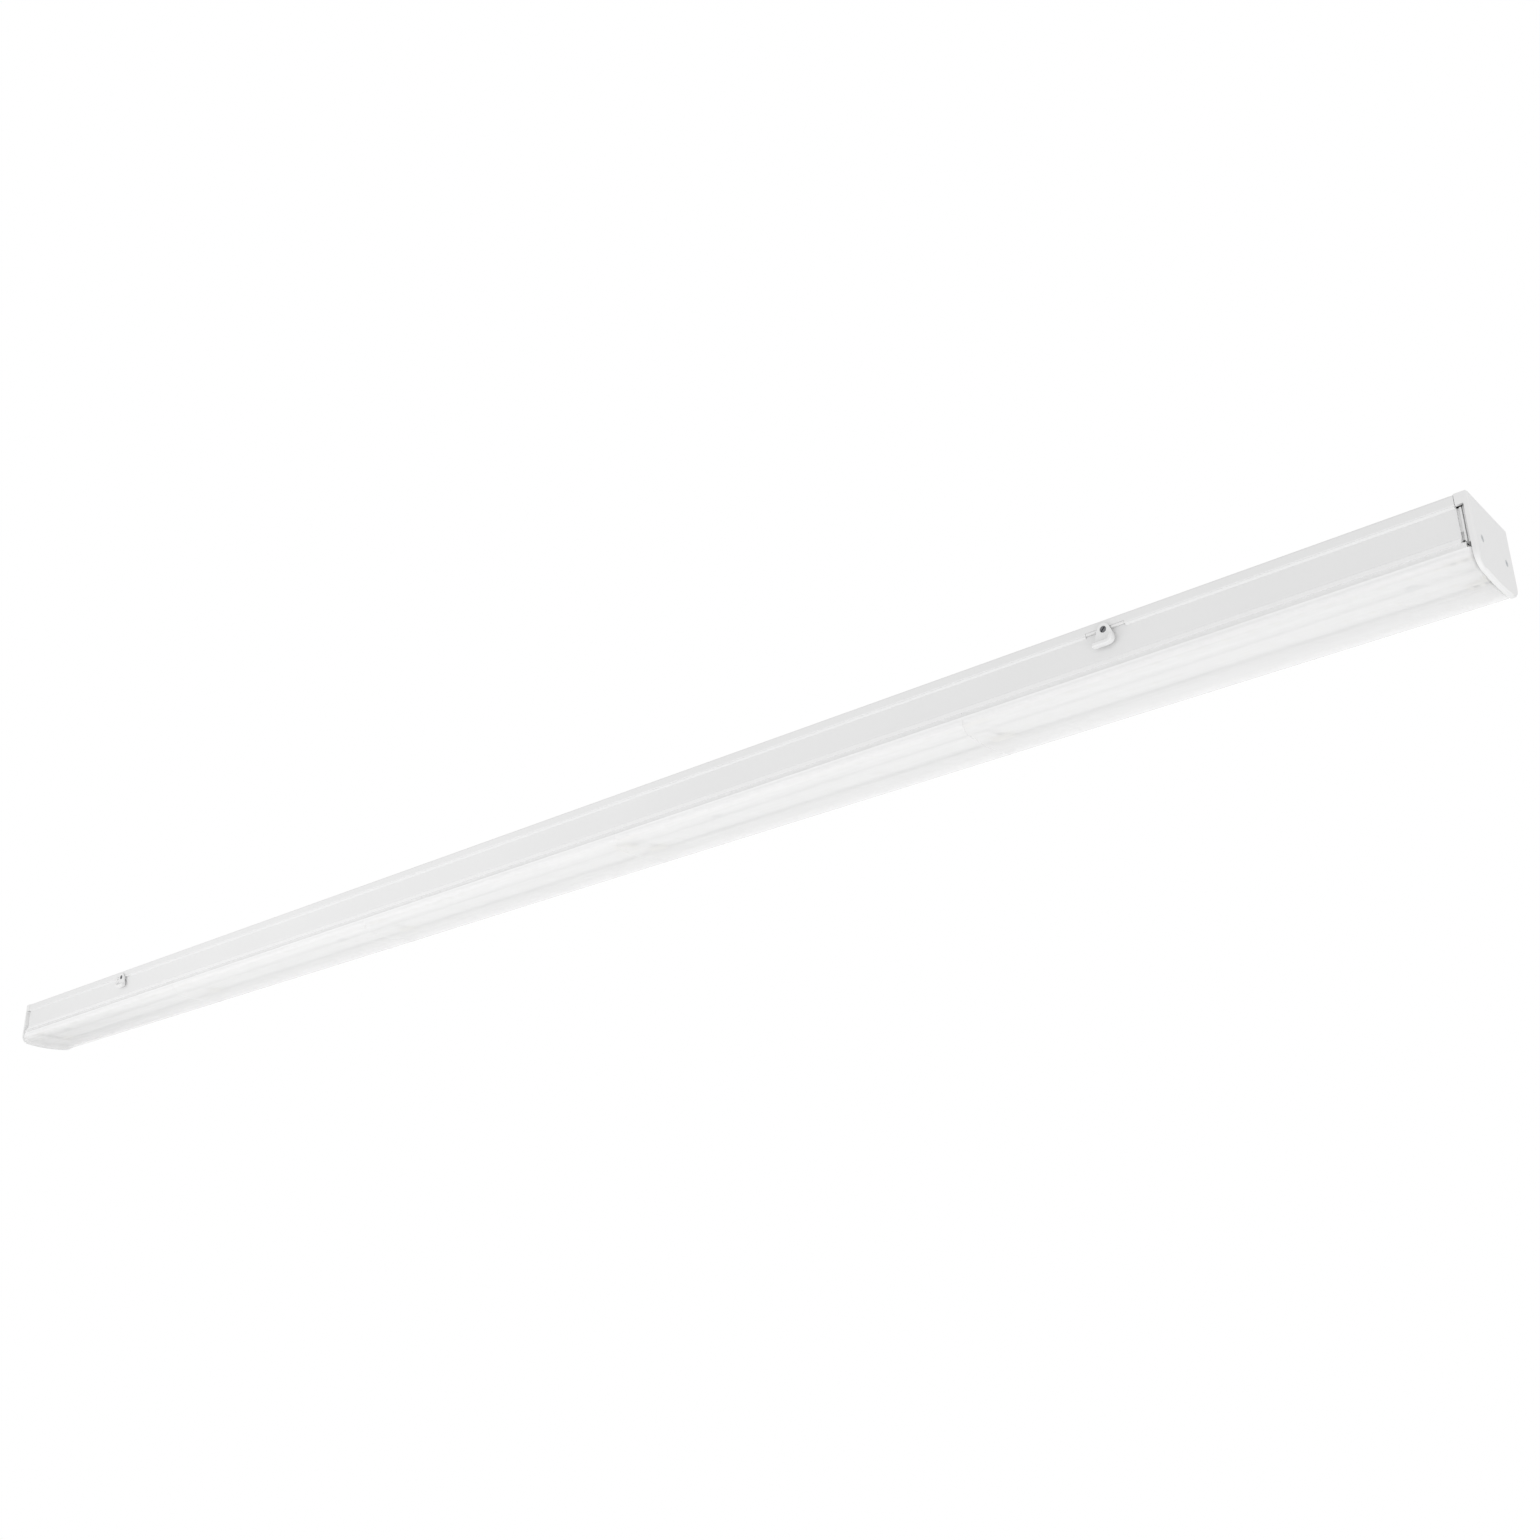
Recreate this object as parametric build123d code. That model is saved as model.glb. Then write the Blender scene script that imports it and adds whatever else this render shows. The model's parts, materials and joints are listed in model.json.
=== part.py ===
from build123d import *
import os

# Linear track light: a ceiling rail, a gear tray held in it by four turn latches, and a clear lens in
# segments over two rows of LEDs. Millimetres. +X runs along the length and +Z is up. The origin is the
# middle of the rail's ceiling face. "Front" is the -Y side and "right" is the +X end.

# Overall size and cross-section
overall_length = 1690.0     # over both end caps
body_width = 62.0           # across the rail and the end caps
body_height = 47.0          # ceiling face to the lowest point of the end caps
bottom_arch = 2.8           # rise of the bottom arch across the width
bottom_corner = 9.0         # radius of the two lower corners

# Clearances shared by the pieces that meet
seam = 0.3                  # pieces that meet end to end
screw_clearance = 0.1       # a screw shank or a bush in its hole
running_clearance = 0.06    # a turning pin in its hole
edge_tolerance = 0.01       # for picking edges by their place

# Ceiling rail, a folded sheet whose sides end in narrow inward flanges
rail_sheet = 0.8
rail_side = 7.2             # depth of the folded sides
rail_bend = 1.2
rail_return = 1.8           # the sides' inward flange, from the outside of the rail
rail_return_bend = 0.5
fixing_spacing = 1000.0
fixing_slot_length = 16.0
fixing_slot_width = 6.5

# Cable entry in the rail
entry_x = -300.0
entry_bore = 6.0            # radius for the supply cable
entry_wall = 3.0
entry_flange = 3.0
entry_flange_thickness = 1.8
entry_height = 6.0

# Gear tray, a folded channel that stands inside the rail's sides
tray_sheet = 0.8
tray_clearance = 0.2        # to the rail's inward flange
tray_depth = 29.5           # ceiling face to the underside of the tray
tray_bend = 4.1             # at the middle of the sheet
tray_top_gap = 0.6          # under the rail's sheet

# Turn latches
latch_from_end = 228.0      # pivot to the nearest end of the light
latch_drop = 7.6            # pivot below the ceiling face
latch_notch = 28.0          # width of the gap in the rail's inward flange
latch_notch_rise = 1.7      # height of that gap
latch_slot_clearance = 0.5  # slot in the rail's side round the lever's boss
pin_radius = 2.2
pin_stand = 0.2             # pin end proud of the lever
pin_slot_width = 0.8
pin_slot_depth = 0.6
pin_slot_angle = 45.0
lever_gap = 0.3             # lever to the rail's side and boss to the tray wall
lever_plate = 1.4
lever_head = 4.4
lever_boss = 3.6
lip_wall = 2.8
lip_depth = 4.4             # finger lip, from the back of the plate outwards
lip_drop = 9.7              # pivot to the middle of the lower lip
lip_inner_end = 7.6         # lower lip's end on the side of the middle of the light
lip_outer_end = 6.0         # the same on the side of the nearest end
lip_lean = 0.6              # the upright lip leans back to the pivot by this
lip_top = 5.5               # pivot to the upper end of the upright lip
lip_corner = 2.8
lip_bevel = 0.5
cam_thickness = 2.0
cam_gap = 0.3               # cam to the tray wall
cam_hub = 3.2
cam_swing_clearance = 0.6   # open cam to the rail's sheet
cam_below = 1.8             # finger's lower face below the pivot
cam_above = 1.2

# Catch brackets, hat-shaped straps under the rail that the cams turn over
catch_sheet = 1.0
catch_bend = 0.8
catch_width = 20.0
catch_gap = 0.5             # leg to the cam
catch_rest = 0.3            # ledge to the cam's finger
ledge_hub_gap = 1.1         # ledge to the cam's hub
ledge_wall_gap = 0.3

# LED carrier under the tray, which also holds the lens
carrier_sheet = 1.0
carrier_bend = 0.8
carrier_flange = 3.1        # flange beyond the leg
carrier_depth = 6.7         # underside of the tray to the underside of its flanges
carrier_lens_gap = 0.5
screw_head = 3.0
screw_head_height = 2.0
screw_shank = 1.6
shank_sides = 6
carrier_screw_shank_length = 5.5
carrier_screws_a_side = 2
carrier_screw_gap = 16.0    # to the earth screw and to the end brackets

# LED boards
segments = 5
board_side_gap = 2.0        # board to the channel's leg
board_centre_gap = 8.0      # between the two rows of boards
board_thickness = 1.6
board_end_gap = 3.0         # board's end to the end of its lens segment
led_size = 3.0
led_height = 0.7
led_pitch = 16.0
led_end_margin = 5.0
connector_length = 16.0
connector_width = 5.0
connector_height = 2.5
connector_inset = 4.0       # middle of the connector to the board's outer edge

# Lens segments
lens_inset = 0.4            # the end caps stand proud of the lens by this
lens_wall = 2.0
lens_rim = 1.2              # thickness of the inward rims that hang on the carrier
lens_rim_gap = 0.3
lens_rest = 0.2
skirt_wall = 1.6            # upright skirts that hide the carrier's flanges
skirt_gap = 0.9             # skirt to the underside of the tray
ridge_width = 19.0
ridge_rise = 3.4
ridge_foot = 0.6            # ridge's foot above the lowest point of the inner face
ridge_root = 1.0            # how far a ridge is sunk into the wall
lens_end_round = 1.8

# End caps and their brackets
end_plate = 3.0
end_bevel = 0.8
collar_length = 4.5
collar_wall = 2.0
collar_roof = 1.5
lens_end_gap = 0.6
tongue_length = 9.0
tongue_width = 8.0
tongue_thickness = 1.5
tongue_offset = 12.0
tongue_clearance = 0.3
end_screw_offset = 19.2
end_screw_drop = 25.8
end_screw_head = 2.1
end_screw_head_height = 1.4
end_screw_shank = 1.25
end_screw_tail = 3.0        # shank behind the bracket
end_boss = 4.0
slot_wall = 1.5             # upright walls of the cap behind the slots at its sides
slot_wall_inset = 1.0       # wall behind the outside of the tray
bracket_sheet = 1.0
bracket_setback = 2.1       # end plate to the bracket
bracket_top_gap = 0.8       # below the collar
bracket_floor_gap = 0.2     # above the underside of the tray
bracket_foot_length = 24.0
bracket_foot_width = 40.0
bracket_wing_length = 10.0  # side wings inside the tray's walls
bracket_wing_gap = 0.2      # wing to the tray's wall
bracket_wing_rise = 6.0     # wing above the tray's floor, clear of its bends

# Driver on the tray's floor
driver_length = 280.0
driver_width = 30.0
driver_terminal_length = 20.0
driver_case_height = 20.0
driver_case_round = 1.5
driver_plate = 1.0
driver_rim = 5.0
driver_screw_inset = 6.0
driver_terminal_width = 26.0
driver_terminal_height = 14.0
wire_clearance = 0.6        # a lead in its wire hole
wire_hole_depth = 7.0

# Supply terminal, earth screw and leads
terminal_gap = 42.0         # terminal block to the driver's input terminal
terminal_length = 34.0
terminal_width = 26.0
terminal_height = 17.0
terminal_foot = 4.0         # square foot in the floor
pole_spacing = 7.5
poles = 3
lead_radius = 1.1
lead_height = 8.0           # supply leads above the tray's floor
lead_straight = 8.0
lead_hump = 5.0
lead_bend_share = 0.45      # share of the shorter run that an arc takes up
lead_sides = 8
earth_gap = 30.0            # earth screw to the terminal block
earth_head = 3.6
earth_head_height = 2.6
earth_washer = 4.8
earth_washer_thickness = 0.9
led_lead_radius = 0.9
led_lead_height = 11.0      # above the tray's floor, where they leave the driver
led_lead_spacing = 4.0
led_lead_run = 22.0         # driver terminal to the hole in the floor
bush_wall = 1.0
bush_clearance = 0.5        # leads to the bush's bore
bush_flange = 2.0
bush_flange_thickness = 1.2
feed_length = 14.0
feed_reach = 4.0            # feed plug over the boards' inner edges
feed_height = 3.0

# Places worked out from the sizes above
half_length = overall_length / 2
half_width = body_width / 2
plate_inner = half_length - end_plate
rail_end = plate_inner - collar_length - seam
rail_under = -rail_sheet
return_inner = half_width - rail_return
tray_outer = return_inner - tray_clearance
tray_inner = tray_outer - tray_sheet
tray_top = rail_under - tray_top_gap
tray_floor = tray_sheet - tray_depth
tray_under = -tray_depth
latch_x = half_length - latch_from_end
latch_z = -latch_drop
lever_back = half_width + lever_gap
lever_face = lever_back + lever_plate
cam_outer = tray_inner - cam_gap
cam_inner = cam_outer - cam_thickness
cam_reach = latch_drop - rail_sheet - cam_swing_clearance
carrier_web = tray_under - carrier_sheet
flange_top = tray_under - carrier_depth + carrier_sheet
lens_end = plate_inner - lens_end_gap
lens_side_inner = half_width - lens_inset - lens_wall
flange_end = lens_side_inner - carrier_lens_gap
carrier_leg = flange_end - carrier_flange
board_inner = board_centre_gap / 2
board_outer = carrier_leg - carrier_sheet - board_side_gap
row_offset = (board_inner + board_outer) / 2
connector_middle = board_outer - connector_inset
rim_under = flange_top + lens_rest
lens_top = rim_under + lens_rim
carrier_end = lens_end - lens_wall - seam
segment_length = (2 * lens_end - (segments - 1) * seam) / segments
board_length = segment_length - 2 * board_end_gap
board_under = carrier_web - board_thickness
bracket_outer = plate_inner - bracket_setback
driver_top = tray_floor + driver_plate
lead_z = tray_floor + lead_height
led_lead_z = tray_floor + led_lead_height
driver_in = -driver_length / 2 + 2 * driver_screw_inset
driver_out = driver_length / 2 - 2 * driver_screw_inset
driver_case_half = driver_out - driver_terminal_length
terminal_right = driver_in - terminal_gap
terminal_left = terminal_right - terminal_length
terminal_middle = terminal_right - terminal_length / 2
earth_x = terminal_left - earth_gap
led_lead_x = driver_out + led_lead_run
bush_bore = led_lead_spacing / 2 + led_lead_radius + bush_clearance
driver_screw_x = driver_length / 2 - driver_screw_inset


# Shapes that several pieces use

def block(x_limits, y_limits, z_limits):
    """A box between limits on the three axes."""
    middle = [sum(limits) / 2 for limits in (x_limits, y_limits, z_limits)]
    size = [max(limits) - min(limits) for limits in (x_limits, y_limits, z_limits)]
    return Pos(*middle) * Box(*size)


def rod(start, direction, length, radius):
    """A round bar from a start point along a direction."""
    return extrude(Plane(origin=start, z_dir=direction) * Circle(radius), length)


def hexagon_head(start, direction):
    """The head of a sheet-metal screw, from its seat."""
    return extrude(Plane(origin=start, z_dir=direction) * RegularPolygon(screw_head, 6), screw_head_height)


def shank(start, direction, length, radius):
    """A screw's shank from a start point along a direction."""
    return extrude(Plane(origin=start, z_dir=direction) * RegularPolygon(radius, shank_sides), length)


def along_x(profile, start, length):
    """A profile drawn in Y and Z, extruded along +X."""
    return extrude(Plane.YZ.offset(start) * profile, length, dir=(1, 0, 0))


def area(y_limits, z_limits):
    """A rectangle in Y and Z."""
    size = (max(y_limits) - min(y_limits), max(z_limits) - min(z_limits))
    return Pos(sum(y_limits) / 2, sum(z_limits) / 2) * Rectangle(*size)


def bent_sheet(half_points, thickness, half_bends):
    """A folded sheet's section, from the middle line of its +Y half, outermost point first."""
    mirrored = [(-y, z) for y, z in half_points]
    points = [*half_points, *reversed(mirrored)]
    bends = [*half_bends, *reversed(half_bends)]
    return trace(FilletPolyline(*points, radius=bends), thickness)


def body_section(inset):
    """The light's cross-section: flat top and sides, rounded lower corners and an arched bottom."""
    half = half_width - inset
    bottom = inset - body_height
    shoulder = bottom + bottom_arch
    sides = Polyline((-half, shoulder), (-half, 0), (half, 0), (half, shoulder))
    arch = ThreePointArc((half, shoulder), (0, bottom), (-half, shoulder))
    face = make_face([*sides.edges(), *arch.edges()])
    lower_corners = face.vertices().sort_by(Axis.Y)[:2]
    return fillet(lower_corners, bottom_corner - inset)


def edges_at(part, axis, place):
    """The edges of a part that lie at one place along an axis."""
    return part.edges().filter_by_position(axis, place - edge_tolerance, place + edge_tolerance)


def latch_plane(depth):
    """A drawing plane at the front right latch: its x is +X, its y is +Z and it looks out to -Y."""
    return Plane(origin=(latch_x, -depth, latch_z), x_dir=(1, 0, 0), z_dir=(0, -1, 0))


def four_corners(part):
    """The front right piece and its mirror images at the other three latches."""
    left = mirror(part, about=Plane.YZ)
    return {
        "right_front": part,
        "left_front": left,
        "right_back": mirror(part, about=Plane.XZ),
        "left_back": mirror(left, about=Plane.XZ),
    }


def segment_middle(index):
    """X of the middle of a lens segment, counted from the left end."""
    return -lens_end + segment_length / 2 + index * (segment_length + seam)


def pole_places():
    """Y of each lead of the supply."""
    return [(pole - (poles - 1) / 2) * pole_spacing for pole in range(poles)]


def led_lead_places():
    """Y of the two leads to the LEDs."""
    return (-led_lead_spacing / 2, led_lead_spacing / 2)


def centre_screws():
    """X of the screws that hold the carrier to the tray."""
    first = carrier_screw_gap - earth_x
    last = rail_end - bracket_foot_length - carrier_screw_gap
    spacing = (last - first) / (carrier_screws_a_side - 1)
    one_side = [first + step * spacing for step in range(carrier_screws_a_side)]
    return [*one_side, *[-x for x in one_side]]


# Ceiling rail and what is fixed in it

def make_mounting_rail():
    """Folded sheet with flanged sides, gaps and slots for the latches, fixing slots and the cable hole."""
    line = half_width - rail_sheet / 2
    foot = -rail_side + rail_sheet / 2
    half_points = [(return_inner, foot), (line, foot), (line, -rail_sheet / 2)]
    section = bent_sheet(half_points, rail_sheet, [rail_return_bend, rail_bend])
    rail = along_x(section, -rail_end, 2 * rail_end)
    for side in (1, -1):
        x = side * latch_x
        gap = (x - latch_notch / 2, x + latch_notch / 2)
        rail -= block(gap, (-body_width, body_width), (-2 * rail_side, latch_notch_rise - rail_side))
        slot_round = lever_boss + latch_slot_clearance
        rail -= rod((x, -body_width, latch_z), (0, 1, 0), 2 * body_width, slot_round)
    slot = extrude(SlotOverall(fixing_slot_length, fixing_slot_width), 2 * rail_sheet, both=True)
    for side in (1, -1):
        rail -= Pos(side * fixing_spacing / 2, 0, 0) * slot
    hole = entry_bore + entry_wall + screw_clearance
    return rail - rod((entry_x, 0, -2 * rail_sheet), (0, 0, 1), 4 * rail_sheet, hole)


def make_cable_grommet():
    """Rubber bush in the cable hole, flush with the ceiling face, with a flange under the sheet."""
    outer = entry_bore + entry_wall
    bush = rod((entry_x, 0, -entry_height), (0, 0, 1), entry_height, outer)
    bush += rod((entry_x, 0, rail_under), (0, 0, -1), entry_flange_thickness, outer + entry_flange)
    return bush - rod((entry_x, 0, -entry_height), (0, 0, 1), entry_height, entry_bore)


def make_catch_bracket():
    """Hat-shaped strap at the right latches. Its outward ledges lie just under the cams' fingers."""
    leg = cam_inner - catch_gap - catch_sheet / 2
    ledge = latch_z - cam_below - catch_rest - catch_sheet / 2
    half_points = [
        (tray_inner - ledge_wall_gap, ledge),
        (leg, ledge),
        (leg, rail_under - catch_sheet / 2),
    ]
    section = bent_sheet(half_points, catch_sheet, [catch_bend, catch_bend])
    start = latch_x - catch_width / 2
    strap = along_x(section, start, catch_width)
    open_part = (start - catch_sheet, latch_x + cam_hub + ledge_hub_gap)
    ledge_heights = (ledge - catch_sheet, latch_z)
    for side in (1, -1):
        beyond_leg = (side * (leg + catch_sheet / 2), side * half_width)
        strap -= block(open_part, beyond_leg, ledge_heights)
    return strap


# Gear tray

def make_gear_tray():
    """Channel with rounded lower corners, holes for the latch pins, the screws and the LED leads."""
    line = tray_outer - tray_sheet / 2
    half_points = [(line, tray_top), (line, tray_under + tray_sheet / 2)]
    section = bent_sheet(half_points, tray_sheet, [tray_bend])
    tray = along_x(section, -rail_end, 2 * rail_end)
    for side in (1, -1):
        start = (side * latch_x, -half_width, latch_z)
        tray -= rod(start, (0, 1, 0), body_width, pin_radius + running_clearance)
    tray -= web_holes([*centre_screws(), driver_screw_x, -driver_screw_x, earth_x])
    foot = terminal_foot + 2 * screw_clearance
    return tray - Pos(terminal_middle, 0, tray_floor) * Box(foot, foot, 4 * tray_sheet)


def web_holes(screw_places):
    """Cutters for screws along the middle and for the LED leads, through the tray's floor or the carrier."""
    top = tray_floor + tray_sheet
    depth = 2 * (top - carrier_web)
    holes = [rod((x, 0, top), (0, 0, -1), depth, screw_shank + screw_clearance) for x in screw_places]
    bush = bush_bore + bush_wall + screw_clearance
    return [*holes, rod((led_lead_x, 0, top), (0, 0, -1), depth, bush)]


def make_lead_bush():
    """Bush that guards the LED leads where they go down through the tray and the carrier."""
    outer = bush_bore + bush_wall
    height = tray_floor - carrier_web
    bush = rod((led_lead_x, 0, carrier_web), (0, 0, 1), height, outer)
    bush += rod((led_lead_x, 0, tray_floor), (0, 0, 1), bush_flange_thickness, outer + bush_flange)
    whole = height + bush_flange_thickness
    return bush - rod((led_lead_x, 0, carrier_web), (0, 0, 1), whole, bush_bore)


# LED carrier and boards

def make_led_carrier():
    """Hat-shaped sheet under the tray: the boards lie in its channel and the lens hangs on its flanges."""
    leg = carrier_leg - carrier_sheet / 2
    half_points = [
        (flange_end, flange_top - carrier_sheet / 2),
        (leg, flange_top - carrier_sheet / 2),
        (leg, tray_under - carrier_sheet / 2),
    ]
    section = bent_sheet(half_points, carrier_sheet, [carrier_bend, carrier_bend])
    carrier = along_x(section, -carrier_end, 2 * carrier_end)
    return carrier - web_holes(centre_screws())


def make_carrier_screws():
    """Hexagon screws along the middle, up through the carrier into the tray."""
    screws = []
    for x in centre_screws():
        screw = hexagon_head((x, 0, carrier_web), (0, 0, -1))
        screw += shank((x, 0, carrier_web), (0, 0, 1), carrier_screw_shank_length, screw_shank)
        screws.append(screw)
    return screws


def make_led_board(side, index):
    """One board of a row; side is -1 at the front and 1 at the back."""
    x = segment_middle(index)
    ends = (x - board_length / 2, x + board_length / 2)
    edges = (side * board_inner, side * board_outer)
    return block(ends, edges, (board_under, carrier_web))


def make_led_chips(side):
    """The LEDs of one row, at an even pitch along each board."""
    count = int((board_length - 2 * led_end_margin) / led_pitch) + 1
    chip = Box(led_size, led_size, led_height)
    chips = []
    for index in range(segments):
        first = segment_middle(index) - (count - 1) * led_pitch / 2
        for step in range(count):
            place = Pos(first + step * led_pitch, side * row_offset, board_under - led_height / 2)
            chips.append(place * chip)
    return chips


def make_board_connectors():
    """Plugs that join each board to the next, and the free ones at the ends of the rows."""
    joints = [segment_middle(index) + (segment_length + seam) / 2 for index in range(segments - 1)]
    last = segment_middle(segments - 1) + board_length / 2 - connector_length / 2
    connectors = []
    for side in (1, -1):
        middle = side * connector_middle
        edges = (middle - connector_width / 2, middle + connector_width / 2)
        for x in [-last, *joints, last]:
            ends = (x - connector_length / 2, x + connector_length / 2)
            connectors.append(block(ends, edges, (board_under - connector_height, board_under)))
    return connectors


def make_feed_connector():
    """Plug across the inner edges of the two rows that brings the driver's output to the boards."""
    half = board_inner + feed_reach
    ends = (led_lead_x - feed_length / 2, led_lead_x + feed_length / 2)
    return block(ends, (-half, half), (board_under - feed_height, board_under))


# Lens

def lens_outline():
    """The outside of the lens, from its rims down."""
    return body_section(lens_inset) & area((-body_width, body_width), (-2 * body_height, lens_top))


def lens_section():
    """Clear section: skirts over inward rims at the top, thin sides, and a ridge under each row of LEDs."""
    inner = lens_inset + lens_wall
    cavity = body_section(inner) & area((-body_width, body_width), (-2 * body_height, rim_under))
    mouth = carrier_leg + lens_rim_gap
    section = lens_outline() - cavity - area((-mouth, mouth), (rim_under, lens_top))
    foot = inner - body_height + ridge_foot
    skirt_outer = half_width - lens_inset
    for side in (1, -1):
        skirt_sides = (side * skirt_outer, side * (skirt_outer - skirt_wall))
        section += area(skirt_sides, (lens_top, tray_under - skirt_gap))
        left = side * row_offset - ridge_width / 2
        right = side * row_offset + ridge_width / 2
        crown = ThreePointArc((left, foot), (side * row_offset, foot + ridge_rise), (right, foot))
        root = Polyline((right, foot), (right, foot - ridge_root), (left, foot - ridge_root), (left, foot))
        section += make_face([*crown.edges(), *root.edges()])
    return section


def make_lens(index):
    """One moulded segment. The first and the last are closed by a rounded end wall."""
    start = segment_middle(index) - segment_length / 2
    if index not in (0, segments - 1):
        return along_x(lens_section(), start, segment_length)
    end = -lens_end if index == 0 else lens_end
    wall_start = end if index == 0 else end - lens_wall
    open_start = start + lens_wall if index == 0 else start
    wall = along_x(lens_outline(), wall_start, lens_wall)
    outside = [edge for edge in edges_at(wall, Axis.X, end) if edge.center().Z < lens_top - edge_tolerance]
    wall = fillet(outside, lens_end_round)
    return wall + along_x(lens_section(), open_start, segment_length - lens_wall)


# End caps

def end_screw_places():
    """Y of the two screws of an end cap."""
    return (-end_screw_offset, end_screw_offset)


def make_end_cap():
    """Right cap: a plate in the light's section with a collar, tongues, walls behind its slots and bosses."""
    cap = along_x(body_section(0), plate_inner, end_plate)
    cap = chamfer(edges_at(cap, Axis.X, half_length), end_bevel)
    collar = area((-half_width, half_width), (-rail_side, 0))
    collar -= area((collar_wall - half_width, half_width - collar_wall), (-rail_side, -collar_roof))
    collar_start = plate_inner - collar_length
    cap += along_x(collar, collar_start, collar_length)
    tongue_top = rail_under - tongue_clearance
    for y in (-tongue_offset, tongue_offset):
        sides = (y - tongue_width / 2, y + tongue_width / 2)
        heights = (tongue_top - tongue_thickness, tongue_top)
        cap += block((collar_start - tongue_length, plate_inner), sides, heights)
    wall_outer = tray_outer - slot_wall_inset
    for side in (1, -1):
        wall_sides = (side * wall_outer, side * (wall_outer - slot_wall))
        cap += block((bracket_outer + seam, plate_inner), wall_sides, (tray_under, -rail_side))
    for y in end_screw_places():
        cap += rod((bracket_outer, y, -end_screw_drop), (1, 0, 0), bracket_setback, end_boss)
    for y in end_screw_places():
        start = (bracket_outer, y, -end_screw_drop)
        cap -= rod(start, (1, 0, 0), half_length, end_screw_shank + screw_clearance)
        head_start = (half_length - end_screw_head_height, y, -end_screw_drop)
        cap -= rod(head_start, (1, 0, 0), half_length, end_screw_head + screw_clearance)
    return cap


def make_end_bracket():
    """Right bracket: a plate behind the end cap, a foot welded to the tray's floor, and two side wings."""
    inner = bracket_outer - bracket_sheet
    top = -rail_side - bracket_top_gap
    heights = (tray_under + bracket_floor_gap, top)
    bracket = block((inner, bracket_outer), (-tray_outer, tray_outer), heights)
    foot_start = rail_end - bracket_foot_length
    foot_sides = (-bracket_foot_width / 2, bracket_foot_width / 2)
    bracket += block((foot_start, inner), foot_sides, (tray_floor, tray_floor + bracket_sheet))
    wing_outer = tray_inner - bracket_wing_gap
    for side in (1, -1):
        wing_sides = (side * wing_outer, side * (wing_outer - bracket_sheet))
        wing_heights = (tray_floor + bracket_wing_rise, top)
        bracket += block((rail_end - bracket_wing_length, inner), wing_sides, wing_heights)
    for y in end_screw_places():
        hole = end_screw_shank + screw_clearance
        bracket -= rod((inner, y, -end_screw_drop), (1, 0, 0), bracket_sheet, hole)
    return bracket


def make_end_cap_screws():
    """Two screws an end, through the cap's bosses into the brackets."""
    screws = []
    for y in end_screw_places():
        seat = half_length - end_screw_head_height
        screw = rod((seat, y, -end_screw_drop), (1, 0, 0), end_screw_head_height, end_screw_head)
        length = seat - bracket_outer + bracket_sheet + end_screw_tail
        screw += shank((seat, y, -end_screw_drop), (-1, 0, 0), length, end_screw_shank)
        screws.append(screw)
    return [*screws, *[mirror(screw, about=Plane.YZ) for screw in screws]]


# Turn latches, drawn at the front right corner in the closed position

def make_latch_lever():
    """Finger lever: a plate with a round boss behind the pivot and a lip round its lower outer corner."""
    path = FilletPolyline(
        (-lip_inner_end, -lip_drop),
        (lip_outer_end, -lip_drop),
        (lip_outer_end - lip_lean, -lip_top),
        radius=lip_corner,
    )
    lip_face = trace(path, lip_wall)
    plate_face = make_hull([*lip_face.edges(), *Circle(lever_head).edges()])
    lip = extrude(latch_plane(lever_back) * lip_face, lip_depth)
    lip = chamfer(edges_at(lip, Axis.Y, -lever_back - lip_depth), lip_bevel)
    lever = extrude(latch_plane(lever_back) * plate_face, lever_plate) + lip
    boss_start = tray_outer + lever_gap
    lever += extrude(latch_plane(boss_start) * Circle(lever_boss), lever_back - boss_start)
    return lever - extrude(latch_plane(boss_start) * Circle(pin_radius), lever_face)


def make_latch_pin():
    """Steel pin through the tray wall, slotted at its outer end."""
    outer = lever_face + pin_stand
    pin = extrude(latch_plane(cam_inner) * Circle(pin_radius), outer - cam_inner)
    slot = Rot(0, 0, pin_slot_angle) * Rectangle(4 * pin_radius, pin_slot_width)
    return pin - extrude(latch_plane(outer - pin_slot_depth) * slot, 2 * pin_slot_depth)


def make_latch_cam():
    """Cam on the pin's inner end: its finger points to the nearest end, over the catch bracket's ledge."""
    finger = Pos(cam_reach / 2, (cam_above - cam_below) / 2) * Rectangle(cam_reach, cam_above + cam_below)
    shape = Circle(cam_hub) + (finger & Circle(cam_reach))
    return extrude(latch_plane(cam_inner) * (shape - Circle(pin_radius)), cam_thickness)


# Driver, supply terminal and leads

def make_driver_base():
    """Shallow steel pan that carries the driver's case and terminals."""
    half = driver_width / 2
    pan = block((-driver_length / 2, driver_length / 2), (-half, half), (tray_floor, driver_top))
    rim_length = (driver_in, driver_out)
    for side in (1, -1):
        rim = (side * half, side * (half - driver_plate))
        pan += block(rim_length, rim, (tray_floor, driver_top + driver_rim))
    for x in (-driver_screw_x, driver_screw_x):
        pan -= rod((x, 0, tray_floor), (0, 0, 1), driver_plate, screw_shank + screw_clearance)
    return pan


def make_driver_case():
    """Closed case of the driver's electronics."""
    half = driver_width / 2 - driver_plate
    ends = (-driver_case_half, driver_case_half)
    case = block(ends, (-half, half), (driver_top, driver_top + driver_case_height))
    return fillet(case.edges().group_by(Axis.Z)[-1], driver_case_round)


def wire_hole(start, direction, wire_radius):
    """The square mouth of a push-in clamp, as a cutter."""
    width = 2 * (wire_radius + wire_clearance)
    mouth = Plane(origin=start, x_dir=(0, 1, 0), z_dir=direction) * Rectangle(width, width)
    return extrude(mouth, wire_hole_depth)


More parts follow.
